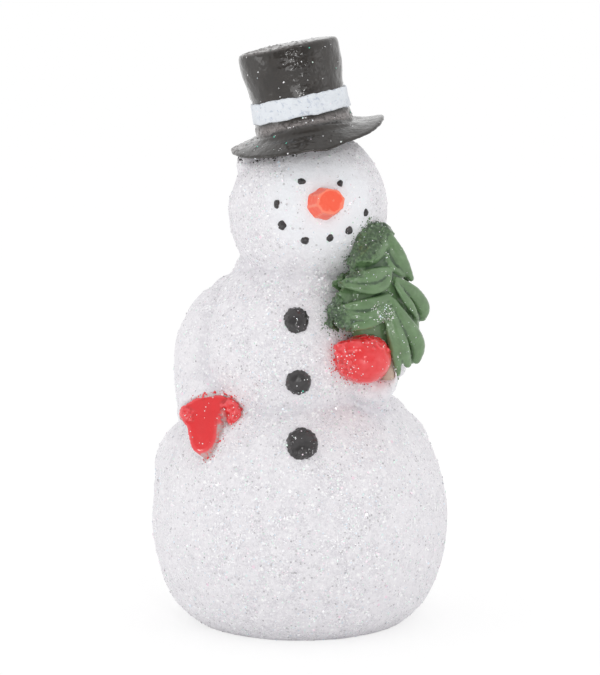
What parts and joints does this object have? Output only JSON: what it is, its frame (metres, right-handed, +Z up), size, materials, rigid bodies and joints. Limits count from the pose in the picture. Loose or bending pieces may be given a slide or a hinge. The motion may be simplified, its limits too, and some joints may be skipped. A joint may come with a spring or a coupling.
{
  "type": "snowman figure",
  "caption": "Free-standing wooden snowman figure in white glitter paint, with a tilted black top hat, carrot nose, coal face, black buttons, red mittens and a small green fir tree.",
  "frame": {"origin": "centre of the flat foot, on the surface that the figure stands on", "axes": "+Z up, the figure faces -Y, +X is towards its left hand, which holds the tree"},
  "size_m": [0.0592, 0.0592, 0.1173],
  "materials": {
    "glitter_white": "white paint with a dense coat of clear and iridescent glitter",
    "hat_black": "satin black paint with a few stray glitter flakes",
    "band_white": "satin blue-white paint, brushed",
    "carrot_orange": "satin orange paint",
    "coal_black": "satin black paint",
    "mitten_red": "satin red paint with glitter at the edges",
    "fir_green": "satin green paint with stray glitter",
    "trunk_tan": "matt tan paint",
    "bare_wood": "bare turned hardwood"
  },
  "bodies": {
    "root": {"bottom_button": "coal_black", "carrot_nose": "carrot_orange", "hat_band": "band_white", "hat_brim": "hat_black", "hat_crown": "hat_black", "hat_dowel": "bare_wood", "head": "glitter_white", "left_arm": "glitter_white", "left_arm_peg": "bare_wood", "left_eye": "coal_black", "left_mitten": "mitten_red", "left_wrist_peg": "bare_wood", "lower_ball": "glitter_white", "middle_button": "coal_black", "mouth_coal_1": "coal_black", "mouth_coal_2": "coal_black", "mouth_coal_3": "coal_black", "mouth_coal_4": "coal_black", "mouth_coal_5": "coal_black", "mouth_coal_6": "coal_black", "neck_dowel": "bare_wood", "right_arm": "glitter_white", "right_arm_peg": "bare_wood", "right_eye": "coal_black", "right_mitten": "mitten_red", "right_wrist_peg": "bare_wood", "top_button": "coal_black", "torso": "glitter_white", "tree": "fir_green", "tree_trunk": "trunk_tan", "waist_dowel": "bare_wood"}
  },
  "joints": []
}
